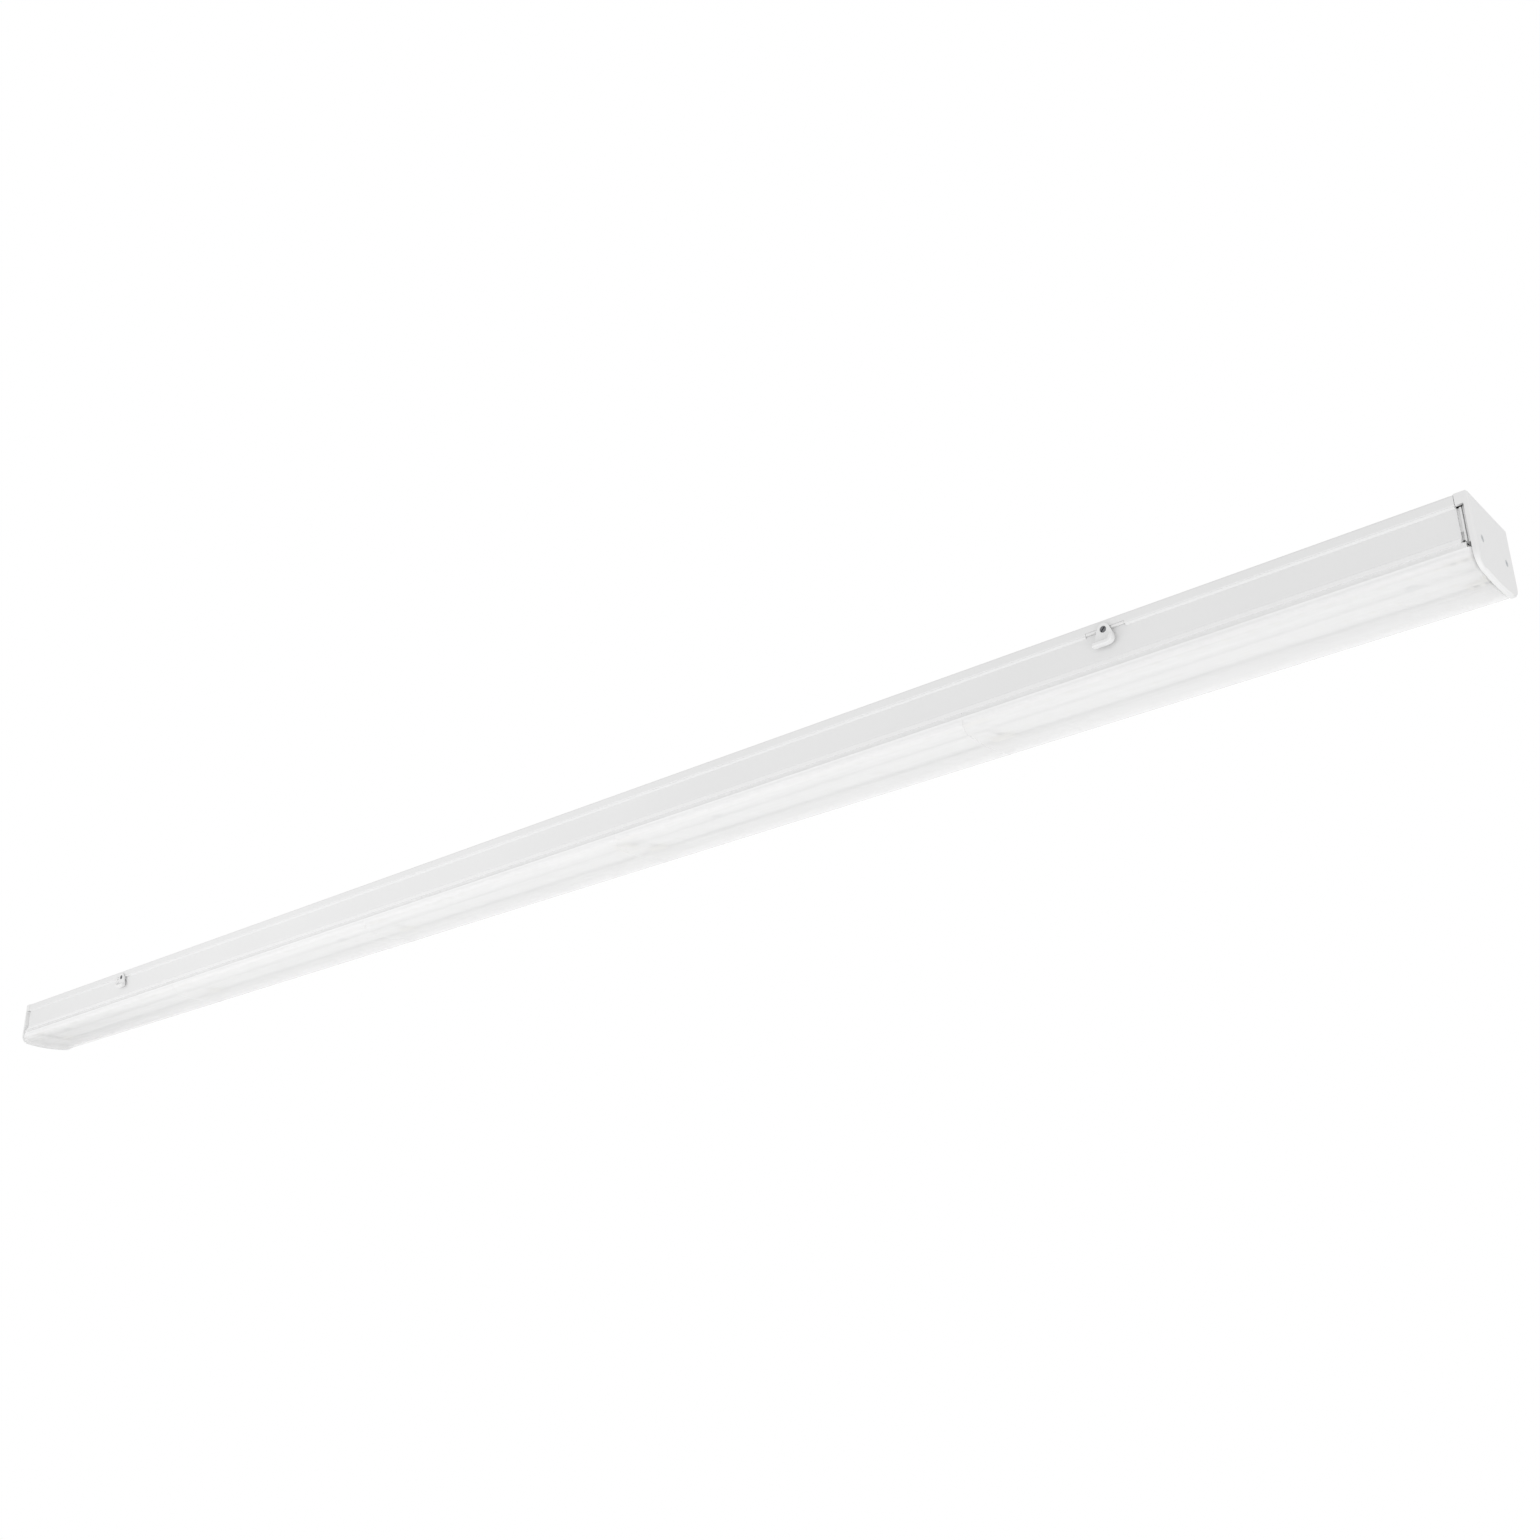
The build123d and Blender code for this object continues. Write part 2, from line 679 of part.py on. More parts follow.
def make_driver_terminal(side, leads, height, wire_radius):
    """Terminal at one end of the driver's case, with a wire hole for each lead."""
    inner = side * driver_case_half
    outer = side * driver_out
    width = (-driver_terminal_width / 2, driver_terminal_width / 2)
    body = block((inner, outer), width, (driver_top, driver_top + driver_terminal_height))
    for y in leads:
        body -= wire_hole((outer, y, height), (-side, 0, 0), wire_radius)
    return body


def make_driver_screws():
    """Screws through the pan's ends into the tray's floor."""
    length = driver_top - tray_under
    screws = []
    for x in (-driver_screw_x, driver_screw_x):
        screw = hexagon_head((x, 0, driver_top), (0, 0, 1))
        screws.append(screw + shank((x, 0, driver_top), (0, 0, -1), length, screw_shank))
    return screws


def make_mains_terminal():
    """Push-in block for the supply, with wire holes at both ends and a foot in the tray's floor."""
    width = (-terminal_width / 2, terminal_width / 2)
    body = block((terminal_left, terminal_right), width, (tray_floor, tray_floor + terminal_height))
    for y in pole_places():
        body -= wire_hole((terminal_right, y, lead_z), (-1, 0, 0), lead_radius)
        body -= wire_hole((terminal_left, y, lead_z), (1, 0, 0), lead_radius)
    foot = Box(terminal_foot, terminal_foot, tray_sheet)
    return body + Pos(terminal_middle, 0, tray_floor - tray_sheet / 2) * foot


def make_earth_screw():
    """Earth screw with its washer on the tray's floor."""
    screw = rod((earth_x, 0, tray_floor), (0, 0, 1), earth_washer_thickness, earth_washer)
    top = tray_floor + earth_washer_thickness
    screw += rod((earth_x, 0, top), (0, 0, 1), earth_head_height, earth_head)
    return screw + shank((earth_x, 0, tray_floor), (0, 0, -1), tray_sheet, screw_shank)


def lead(points, radius):
    """A lead along straight runs, with the largest arcs that its runs allow."""
    vectors = [Vector(*point) for point in points]
    runs = [after - before for before, after in zip(vectors, vectors[1:])]
    radii = []
    for before, after in zip(runs, runs[1:]):
        half_turn = before.get_angle(after) / 2
        shorter = min(before.length, after.length)
        opposite = Vector(1, 0, 0).rotate(Axis.Z, half_turn)
        radii.append(lead_bend_share * shorter * opposite.X / opposite.Y)
    print("lead radii", [round(value, 1) for value in radii])
    path = FilletPolyline(*vectors, radius=radii)
    section = RegularPolygon(radius, lead_sides)
    return sweep(Plane(origin=vectors[0], z_dir=runs[0]) * section, path=path)


def make_mains_leads():
    """Supply leads from the terminal block to the driver."""
    start = terminal_right - wire_hole_depth
    end = driver_in + wire_hole_depth
    middle = (terminal_right + driver_in) / 2
    leads = []
    for y in pole_places():
        leads.append(lead([
            (start, y, lead_z),
            (terminal_right + lead_straight, y, lead_z),
            (middle, y, lead_z + lead_hump),
            (driver_in - lead_straight, y, lead_z),
            (end, y, lead_z),
        ], lead_radius))
    return leads


def make_led_leads():
    """Two leads from the driver, down through the bush to the feed connector."""
    start = driver_out - wire_hole_depth
    leads = []
    for y in led_lead_places():
        leads.append(lead([
            (start, y, led_lead_z),
            (led_lead_x, y, led_lead_z),
            (led_lead_x, y, board_under),
        ], led_lead_radius))
    return leads


# Every piece under its own name

def build_nodes():
    """All pieces of the light, by node name."""
    catch = make_catch_bracket()
    bracket = make_end_bracket()
    cap = make_end_cap()
    nodes = {
        "mounting_rail": make_mounting_rail(),
        "cable_grommet": make_cable_grommet(),
        "catch_bracket_right": catch,
        "catch_bracket_left": mirror(catch, about=Plane.YZ),
        "gear_tray": make_gear_tray(),
        "lead_bush": make_lead_bush(),
        "led_carrier": make_led_carrier(),
        "carrier_screws": make_carrier_screws(),
        "led_chips_front": make_led_chips(-1),
        "led_chips_back": make_led_chips(1),
        "board_connectors": make_board_connectors(),
        "feed_connector": make_feed_connector(),
        "end_cap_right": cap,
        "end_cap_left": mirror(cap, about=Plane.YZ),
        "end_bracket_right": bracket,
        "end_bracket_left": mirror(bracket, about=Plane.YZ),
        "end_cap_screws": make_end_cap_screws(),
        "driver_base": make_driver_base(),
        "driver_case": make_driver_case(),
        "driver_input_terminal": make_driver_terminal(-1, pole_places(), lead_z, lead_radius),
        "driver_output_terminal": make_driver_terminal(1, led_lead_places(), led_lead_z, led_lead_radius),
        "driver_screws": make_driver_screws(),
        "mains_terminal": make_mains_terminal(),
        "earth_screw": make_earth_screw(),
        "mains_leads": make_mains_leads(),
        "led_leads": make_led_leads(),
    }
    for index in range(segments):
        nodes[f"lens_{index + 1}"] = make_lens(index)
        nodes[f"led_board_front_{index + 1}"] = make_led_board(-1, index)
        nodes[f"led_board_back_{index + 1}"] = make_led_board(1, index)
    for corner, part in four_corners(make_latch_lever()).items():
        nodes[f"latch_lever_{corner}"] = part
    for corner, part in four_corners(make_latch_pin()).items():
        nodes[f"latch_pin_{corner}"] = part
    for corner, part in four_corners(make_latch_cam()).items():
        nodes[f"latch_cam_{corner}"] = part
    return nodes


def solids_of(piece):
    """The separate solids of a piece or of a group of pieces."""
    members = piece if isinstance(piece, list) else [piece]
    return [solid for member in members for solid in member.solids()]


os.makedirs("parts", exist_ok=True)
for name, piece in build_nodes().items():
    export_step(Compound(solids_of(piece)), f"parts/{name}.step")
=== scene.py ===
# %% [markdown]
# A linear track light, dressed for its picture
#
# The object is a slim white ceiling light, 1.69 m long: a folded steel rail, a steel gear tray held in it
# by turn latches, and a moulded acrylic lens over two rows of LEDs. The solids come ready-made in their real
# size, in metres. This lesson gives each surface its finish and adds the small parts that a close look shows.
# Sizes below are in millimetres where their name ends in MM. The boards of a row and the segments of the lens
# carry the numbers 1 to 5.

# %% Load the solids
import json
import math

import bmesh
import bpy
from mathutils import Matrix, Vector

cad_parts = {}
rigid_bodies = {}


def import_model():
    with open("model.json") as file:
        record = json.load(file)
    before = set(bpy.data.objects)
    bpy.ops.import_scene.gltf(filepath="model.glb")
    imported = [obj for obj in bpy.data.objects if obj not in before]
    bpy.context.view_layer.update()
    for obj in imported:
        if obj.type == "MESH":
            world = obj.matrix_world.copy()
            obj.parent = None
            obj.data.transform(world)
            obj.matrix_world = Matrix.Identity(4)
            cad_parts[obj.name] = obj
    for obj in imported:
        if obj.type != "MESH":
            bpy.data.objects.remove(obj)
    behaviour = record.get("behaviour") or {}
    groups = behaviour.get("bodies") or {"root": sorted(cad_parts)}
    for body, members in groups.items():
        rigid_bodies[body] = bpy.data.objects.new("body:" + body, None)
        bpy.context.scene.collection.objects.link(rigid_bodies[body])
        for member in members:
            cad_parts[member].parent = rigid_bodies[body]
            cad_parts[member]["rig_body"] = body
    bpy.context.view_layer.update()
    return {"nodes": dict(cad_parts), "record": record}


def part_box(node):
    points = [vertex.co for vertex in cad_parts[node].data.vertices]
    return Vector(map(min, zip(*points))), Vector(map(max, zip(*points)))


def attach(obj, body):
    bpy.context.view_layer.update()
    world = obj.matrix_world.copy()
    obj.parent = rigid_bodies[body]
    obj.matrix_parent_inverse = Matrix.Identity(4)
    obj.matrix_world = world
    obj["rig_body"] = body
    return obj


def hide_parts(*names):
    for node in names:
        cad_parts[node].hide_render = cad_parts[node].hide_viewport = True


MM = 0.001
NUMBERS = range(1, 6)

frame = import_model()
scene = bpy.context.scene
nodes = frame["nodes"]
slot_of = {row["node"]: row["material_slot"] for row in frame["record"]["subparts"]}

# %% [markdown]
# Helpers for colours and shader nodes
#
# Colours are written as sRGB hex codes, as a paint card gives them, but Blender shades in linear light, so
# one function converts them. A second one adds a shader node, sets it and links it in a single call. A third
# starts a material with the three nodes that all of them share. The table called finish keeps each material
# under the name that the record gives it.

# %% Colours, nodes and materials
finish = {}


def linear(hex_code):
    """An sRGB hex colour as linear RGBA."""
    channels = [int(hex_code[start:start + 2], 16) / 255 for start in (1, 3, 5)]
    return [c / 12.92 if c <= 0.04045 else ((c + 0.055) / 1.055) ** 2.4 for c in channels] + [1.0]


def add(tree, kind, inputs=None, **settings):
    """Add a node: settings are its own properties, inputs are socket values or links from other sockets."""
    node = tree.nodes.new(kind)
    for name, value in settings.items():
        setattr(node, name, value)
    for name, value in (inputs or {}).items():
        if isinstance(value, bpy.types.NodeSocket):
            tree.links.new(value, node.inputs[name])
        else:
            node.inputs[name].default_value = value
    return node


def new_material(name, sockets):
    """A material whose shader has these sockets set, with its tree, its Object coordinates and its shader."""
    material = bpy.data.materials.new(name)
    material.use_nodes = True
    tree = material.node_tree
    tree.nodes.clear()
    place = add(tree, "ShaderNodeTexCoord").outputs["Object"]
    shader = add(tree, "ShaderNodeBsdfPrincipled", sockets)
    add(tree, "ShaderNodeOutputMaterial", {"Surface": shader.outputs["BSDF"]})
    return material, tree, place, shader


print("helpers for colours, nodes and materials")

# %% [markdown]
# Patterns and what they drive
#
# A pattern is a socket with values from 0 to 1. It may mix two colours, vary the gloss or dent the surface.
# Noise is set by the width of its features, so that it can be compared with the real surface. A ramp gives
# each place along an axis its own colour. The mix node has sockets for each kind of value, so those for
# colours are picked by their number.

# %% Patterns
MIX_FACTOR, MIX_FIRST, MIX_SECOND, MIX_RESULT = 0, 6, 7, 2


def noise(tree, place, size_mm, detail=2.0):
    """Noise whose features are about so many millimetres wide."""
    scale = 1 / (size_mm * MM)
    texture = add(tree, "ShaderNodeTexNoise", {"Vector": place, "Scale": scale, "Detail": detail})
    return texture.outputs["Fac"]


def ramp(tree, place, axis, limits_mm, stops, interpolation="LINEAR"):
    """Colours along an axis, between two limits. Below the first stop, its colour goes on."""
    low, high = limits_mm
    value = add(tree, "ShaderNodeSeparateXYZ", {"Vector": place}).outputs[axis]
    share = add(tree, "ShaderNodeMapRange", {"Value": value, "From Min": low * MM, "From Max": high * MM})
    colours = add(tree, "ShaderNodeValToRGB", {"Fac": share.outputs["Result"]})
    colours.color_ramp.interpolation = interpolation
    elements = colours.color_ramp.elements
    elements.remove(elements[1])
    elements[0].color = stops[0][1]
    for stop_mm, colour in stops:
        elements.new((stop_mm - low) / (high - low)).color = colour
    return colours.outputs["Color"]


def paint(tree, shader, pattern, first, second):
    """Let a pattern mix two colours."""
    inputs = {MIX_FACTOR: pattern, MIX_FIRST: linear(first), MIX_SECOND: linear(second)}
    mix = add(tree, "ShaderNodeMix", inputs, data_type="RGBA")
    tree.links.new(mix.outputs[MIX_RESULT], shader.inputs["Base Color"])


def polish(tree, shader, pattern, low, high):
    """Let a pattern vary the roughness between two values."""
    gloss = add(tree, "ShaderNodeMapRange", {"Value": pattern, "To Min": low, "To Max": high})
    tree.links.new(gloss.outputs["Result"], shader.inputs["Roughness"])


def emboss(tree, shader, pattern, depth_mm):
    """Let a pattern dent the surface."""
    dents = add(tree, "ShaderNodeBump", {"Height": pattern, "Distance": depth_mm * MM})
    tree.links.new(dents.outputs["Normal"], shader.inputs["Normal"])


print("helpers for patterns")

# %% [markdown]
# Helpers for shapes
#
# Every new shape is built in a bmesh. Once finished it becomes a piece, an object at the origin. A small part
# that occurs many times is made once, as a mesh, and copied into the bmesh of its piece.

# %% Pieces
def to_mesh(shape, name):
    """Turn a bmesh into a mesh and free it."""
    mesh = bpy.data.meshes.new(name)
    shape.to_mesh(mesh)
    shape.free()
    return mesh


def add_piece(name, shape, materials):
    """Make a bmesh an object of the scene, at the origin."""
    mesh = to_mesh(shape, name)
    for material in materials:
        mesh.materials.append(material)
    piece = bpy.data.objects.new(name, mesh)
    scene.collection.objects.link(piece)
    return piece


def add_copy(shape, mesh, matrix):
    """Add a mesh to a bmesh, moved by a matrix."""
    before = len(shape.verts)
    shape.from_mesh(mesh)
    shape.verts.ensure_lookup_table()
    bmesh.ops.transform(shape, matrix=matrix, verts=shape.verts[before:])


def stand_for(piece, *names):
    """Let a piece stand for solids of one body: it moves with them, and they are hidden."""
    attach(piece, nodes[names[0]]["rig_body"])
    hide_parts(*names)


print("helpers for pieces")

# %% Shapes
FACING_COSINE = 0.9


def only(items, kind):
    """Those items that are of one kind: vertices, edges or faces."""
    return [item for item in items if isinstance(item, kind)]


def facing(shape, direction):
    """The faces of a shape that look along a direction."""
    return [face for face in shape.faces if face.normal.dot(Vector(direction)) > FACING_COSINE]


def cube_shape(size, middle=(0, 0, 0)):
    """A bmesh of a block with a size and a middle."""
    shape = bmesh.new()
    bmesh.ops.create_cube(shape, size=1.0, matrix=Matrix.Translation(middle) @ Matrix.Diagonal((*size, 1.0)))
    return shape


def bevel(shape, edges, width_mm, segments):
    """Bevel edges of a shape."""
    bmesh.ops.bevel(shape, geom=edges, offset=width_mm * MM, affect="EDGES", segments=segments, profile=0.5,
                    material=-1)


def sink(shape, faces, rim_mm, slope_mm, depth_mm):
    """Sink faces: a rim stays, and walls slope inwards to the faces."""
    bmesh.ops.inset_region(shape, faces=faces, thickness=rim_mm * MM, depth=0.0)
    bmesh.ops.inset_region(shape, faces=faces, thickness=slope_mm * MM, depth=-depth_mm * MM)


print("helpers for shapes")

# %% [markdown]
# Where the photographer stood
#
# The light is seen from below and from its right end. The long edges run off to a vanishing point, so the
# viewpoint, the focal length and a small roll of the camera follow from them.

# %% Camera
CAMERA_PLACE = Vector((1.0667, -0.8648, -0.4678))
CAMERA_AIM = Vector((0.1469, 0.1815, 0.0883))
CAMERA_ROLL_DEGREES = -0.88
LENS_MM = 38.0
SENSOR_MM = 36.0


def aimed(place, target):
    """The matrix of a camera or a lamp that stands at a place and looks at a target."""
    turn = (Vector(target) - Vector(place)).to_track_quat("-Z", "Y").to_matrix().to_4x4()
    return Matrix.Translation(place) @ turn


camera_data = bpy.data.cameras.new("camera")
camera_data.lens = LENS_MM
camera_data.sensor_width = SENSOR_MM
camera = bpy.data.objects.new("camera", camera_data)
scene.collection.objects.link(camera)
scene.camera = camera
roll = Matrix.Rotation(math.radians(CAMERA_ROLL_DEGREES), 4, "Z")
camera.matrix_world = aimed(CAMERA_PLACE, CAMERA_AIM) @ roll
print("camera at", [round(value, 3) for value in CAMERA_PLACE])

# %% [markdown]
# A white studio
#
# The light floats on pure white, as in a catalogue. A white surround lights it softly from everywhere. It is
# brighter to the camera than to the object, so that white paint still stands out from a white ground.

# %% Surround
SURROUND_LIGHT = 0.80
SURROUND_SEEN = 1.0

scene.view_settings.view_transform = "Standard"
scene.view_settings.look = "None"
world = bpy.data.worlds.new("white_surround")
scene.world = world
world.use_nodes = True
tree = world.node_tree
tree.nodes.clear()
seen = add(tree, "ShaderNodeLightPath").outputs["Is Camera Ray"]
levels = {"Factor": seen, "A": SURROUND_LIGHT, "B": SURROUND_SEEN}
level = add(tree, "ShaderNodeMix", levels, data_type="FLOAT")
backdrop = add(tree, "ShaderNodeBackground", {"Color": (1, 1, 1, 1), "Strength": level.outputs["Result"]})
add(tree, "ShaderNodeOutputWorld", {"Surface": backdrop.outputs["Background"]})
print("made", world.name)

# %% [markdown]
# Three softboxes and a floor
#
# One softbox beyond the near end lifts its end cap, a large one straight below lifts the lens, and a small
# one beside the far half makes that half paler, as it is in the picture. Each is listed with its place, its
# target, its size and its watts. A pale floor far below returns some of the light.

# %% Softboxes and floor
SOFTBOXES = {
    "end_softbox": ((2.4, -0.9, -1.5), (0.7, 0.0, 0.0), (1.6, 1.6), 12.0),
    "under_softbox": ((0.1, 0.0, -2.0), (0.0, 0.0, 0.0), (3.0, 2.0), 11.0),
    "side_softbox": ((-0.45, -0.9, -0.5), (-0.4, 0.0, 0.0), (0.9, 0.6), 2.4),
}
FLOOR_DROP = 2.4
FLOOR_SIZE = 16.0

for name, (spot, target, size, watts) in SOFTBOXES.items():
    light = bpy.data.lights.new(name, "AREA")
    light.shape = "RECTANGLE"
    light.size, light.size_y = size
    light.energy = watts
    softbox = bpy.data.objects.new(name, light)
    scene.collection.objects.link(softbox)
    softbox.matrix_world = aimed(spot, target)
    softbox.visible_camera = False

floor_shape = bmesh.new()
bmesh.ops.create_grid(floor_shape, x_segments=1, y_segments=1, size=FLOOR_SIZE / 2,
                      matrix=Matrix.Translation((0, 0, -FLOOR_DROP)))
floor_paint, _, _, _ = new_material("pale_floor_paint", {"Base Color": linear("#F4F4F4"), "Roughness": 0.8})
floor = add_piece("floor", floor_shape, [floor_paint])
print("studio with", len(SOFTBOXES), "softboxes")

# %% [markdown]
# Powder-coated steel
#
# The rail and the tray are folded from sheet steel and sprayed with white powder that melts in an oven. The
# melt leaves a satin skin with faint orange peel, soft dimples about 2 mm apart. That is under two pixels
# here, so the dimples are drawn at 4 mm. A slow drift between two whites keeps the long faces from looking
# like flat fills. Image maps could do it, but noise in Object coordinates needs no unwrapping.

# %% Powder coat
PEEL_MM = 4.0
DRIFT_MM = 120.0
PEEL_DEPTH_MM = 0.012

powder_coat, tree, place, shader = new_material("powder_coated_steel", {"Roughness": 0.42})
paint(tree, shader, noise(tree, place, DRIFT_MM, detail=1.0), "#E9E9E9", "#EDEDED")
emboss(tree, shader, noise(tree, place, PEEL_MM, detail=1.0), PEEL_DEPTH_MM)
finish["white_steel"] = powder_coat
print("made", powder_coat.name)

# %% [markdown]
# Zinc-plated and phosphated steel
#
# The inner brackets and screws are zinc-plated: a pale grey metal whose crystals catch the light in patches a
# few millimetres wide. Cells from a Voronoi pattern give each patch its own grey and its own gloss. The latch
# pins are phosphated, a bath that leaves a dark grey, slightly uneven satin.

# %% Plated metals
SPANGLE_MM = 5.0
OIL_STAIN_MM = 1.5
PHOSPHATE_GREY = linear("#808184")

zinc, tree, place, shader = new_material("zinc_plated_steel", {"Metallic": 1.0})
spangle = add(tree, "ShaderNodeTexVoronoi", {"Vector": place, "Scale": 1 / (SPANGLE_MM * MM)})
patch = add(tree, "ShaderNodeSeparateColor", {"Color": spangle.outputs["Color"]}).outputs["Red"]
paint(tree, shader, patch, "#C3C7CA", "#DADCDD")
polish(tree, shader, patch, 0.28, 0.42)
finish["zinc_steel"] = zinc

dark_metal = {"Metallic": 1.0, "Base Color": PHOSPHATE_GREY}
phosphated, tree, place, shader = new_material("phosphated_steel", dark_metal)
polish(tree, shader, noise(tree, place, OIL_STAIN_MM), 0.3, 0.5)
finish["dark_steel"] = phosphated
print("made", zinc.name, "and", phosphated.name)

# %% [markdown]
# Moulded plastics
#
# The end caps and the latch levers are white polycarbonate, the plugs are ivory nylon, the driver has a pale
# grey ABS case with darker polyamide terminals. All are injection moulded in tools whose walls are spark
# eroded, so the skin is a fine, even grit with a satin gloss. One loop makes them, because only colour, gloss
# and grit differ.

# %% Moulded plastics
MOULDED = {
    "white_plastic": ("moulded_polycarbonate", "#EDEDED", 0.38, 1.2),
    "connector_white": ("moulded_nylon", "#EFECE3", 0.45, 0.8),
    "driver_plastic": ("moulded_abs", "#DADBD8", 0.5, 1.0),
    "terminal_grey": ("moulded_polyamide", "#8B8F92", 0.5, 1.0),
}
GRIT_DEPTH_MM = 0.01

for slot, (name, colour, roughness, grit_mm) in MOULDED.items():
    plastic, tree, place, shader = new_material(name, {"Base Color": linear(colour), "Roughness": roughness})
    emboss(tree, shader, noise(tree, place, grit_mm, detail=3.0), GRIT_DEPTH_MM)
    finish[slot] = plastic
print("made", [row[0] for row in MOULDED.values()])

# %% [markdown]
# The acrylic of the lens
#
# The lens is moulded in acrylic with a lightly frosted inner face: the LEDs, their boards and the plugs show
# as soft pale rows and marks. A glass shader bends light, and a white box behind two bending walls renders
# grey, because little light finds its way in and out. A thin veil does better: part of each surface is white
# and the rest is open, so the light goes straight in, and the surfaces that a ray crosses add up. The upright
# sides are frosted more than the bottom and the skirts above them, so a ramp over the height, which is Object
# Z, sets the veil. A faint painted glow, an emission from the lens itself, stands in for the light that such
# a body passes on from grain to grain. Flow lines from moulding run along the length, about 2 mm apart and 60
# mm long, in gloss and tint.

# %% Frosted acrylic
ACRYLIC_IOR = 1.49
# Painted glow: the lens emits a little light of its own, which lifts it and the shade beside it.
PAINTED_GLOW = 0.075
FLOW_ACROSS_MM = 2.0
FLOW_ALONG_MM = 60.0
VEIL_LIMITS_MM = (-47.0, -30.0)
VEIL_STOPS = [
    (-42.0, 0.42), (-40.3, 0.46), (-38.4, 0.6), (-36.4, 0.76), (-34.2, 0.82), (-33.4, 0.58),
]

body = {"IOR": ACRYLIC_IOR, "Emission Color": linear("#FFFFFF"), "Emission Strength": PAINTED_GLOW}
acrylic, tree, place, shader = new_material("frosted_acrylic", body)
veil_greys = [(height_mm, (opacity, opacity, opacity, 1.0)) for height_mm, opacity in VEIL_STOPS]
veil = ramp(tree, place, "Z", VEIL_LIMITS_MM, veil_greys)
tree.links.new(veil, shader.inputs["Alpha"])
stretch = (1 / (FLOW_ALONG_MM * MM), 1 / (FLOW_ACROSS_MM * MM), 1 / (FLOW_ACROSS_MM * MM))
along = add(tree, "ShaderNodeMapping", {"Vector": place, "Scale": stretch}).outputs["Vector"]
flow = add(tree, "ShaderNodeTexNoise", {"Vector": along, "Scale": 1.0, "Detail": 1.0}).outputs["Fac"]
polish(tree, shader, flow, 0.14, 0.26)
paint(tree, shader, flow, "#F5F5F5", "#FDFDFD")
finish["clear_lens"] = acrylic
print("made", acrylic.name)

# %% [markdown]
# Boards and LEDs
#
# A lighting board is coated with white solder mask, smooth and a little glossy. The copper tracks under it
# run along the board and show as faint lines a few millimetres apart. Each LED is a white plastic cup with a
# window of silicone that holds yellow phosphor. Unlit, the phosphor is a pale straw colour.

# %% Boards and LEDs
TRACK_PITCH_MM = 4.5
WAVE_TURNS = 20.0
TRACK_DEPTH_MM = 0.035
PHOSPHOR_GRAIN_MM = 0.3
CUP_GRAIN_MM = 0.5

solder_mask, tree, place, shader = new_material("white_solder_mask", {"Roughness": 0.32})
pitch = math.tau / (WAVE_TURNS * TRACK_PITCH_MM * MM)
wave = add(tree, "ShaderNodeTexWave", {"Vector": place, "Scale": pitch}, bands_direction="Y")
tracks = wave.outputs["Fac"]
paint(tree, shader, tracks, "#F1F1F1", "#F7F7F7")
emboss(tree, shader, tracks, TRACK_DEPTH_MM)
finish["board_white"] = solder_mask

phosphor, tree, place, shader = new_material("phosphor_silicone", {"Roughness": 0.25})
paint(tree, shader, noise(tree, place, PHOSPHOR_GRAIN_MM), "#F1EBD2", "#F6F2E2")
finish["led_phosphor"] = phosphor

cup_white = {"Base Color": linear("#F4F4F3"), "Roughness": 0.4}
led_cup, tree, place, shader = new_material("led_cup_plastic", cup_white)
emboss(tree, shader, noise(tree, place, CUP_GRAIN_MM), GRIT_DEPTH_MM)
print("made", solder_mask.name, phosphor.name, led_cup.name)

# %% [markdown]
# Rubber, seals and wire insulation
#
# The cable grommet is neoprene: nearly black, dull, with a dusty bloom. The seals are white silicone, which
# is dull too, with a faint mottle. The leads are copper in PVC, one colour each. They lie side by side, so
# their place across the light, which is Object Y, picks the colour.

# %% Rubber and insulation
BLOOM_MM = 3.0
MOTTLE_MM = 6.0
LEAD_LIMITS_MM = (-10.0, 10.0)
LEAD_COLOURS = [(-3.8, "#6B4126"), (-3.0, "#3A3A3E"), (0.0, "#5C8A2E"), (1.0, "#A8322A"), (3.8, "#2F5FA8")]

rubber, tree, place, shader = new_material("neoprene_rubber", {"Roughness": 0.75})
paint(tree, shader, noise(tree, place, BLOOM_MM, detail=3.0), "#262627", "#38383A")
finish["black_rubber"] = rubber

silicone, tree, place, shader = new_material("white_silicone", {"Roughness": 0.6})
paint(tree, shader, noise(tree, place, MOTTLE_MM, detail=1.0), "#F7F7F7", "#FCFCFC")

insulation, tree, place, shader = new_material("pvc_insulation", {"Roughness": 0.42})
lead_stops = [(start_mm, linear(colour)) for start_mm, colour in LEAD_COLOURS]
sleeve = ramp(tree, place, "Y", LEAD_LIMITS_MM, lead_stops, interpolation="CONSTANT")
tree.links.new(sleeve, shader.inputs["Base Color"])
finish["lead_insulation"] = insulation
print("made", rubber.name, silicone.name, insulation.name)

# %% [markdown]
# Every solid gets its finish
#
# A solid whose shape is right only needs its material. The record names a finish for each one.

# %% Finish the solids
for name, node in nodes.items():
    node.data.materials.clear()
    node.data.materials.append(finish[slot_of[name]])
print("finished", len(nodes), "solids")

# %% [markdown]
# Skins for folded and moulded parts
#
# The solids arrive as loose flat triangles, so a bend shows its facets. A skin is a copy of a solid: its
# triangles are welded, those that lie flat together become one face again, and the curves are shaded smooth
# up to the creases. Weighted normals keep the big faces flat beside a bend. The skin then stands for the
# solid.

# %% Skins
WELD_MM = 0.002
FLAT_DEGREES = 0.3
CREASE_DEGREES = 28.0


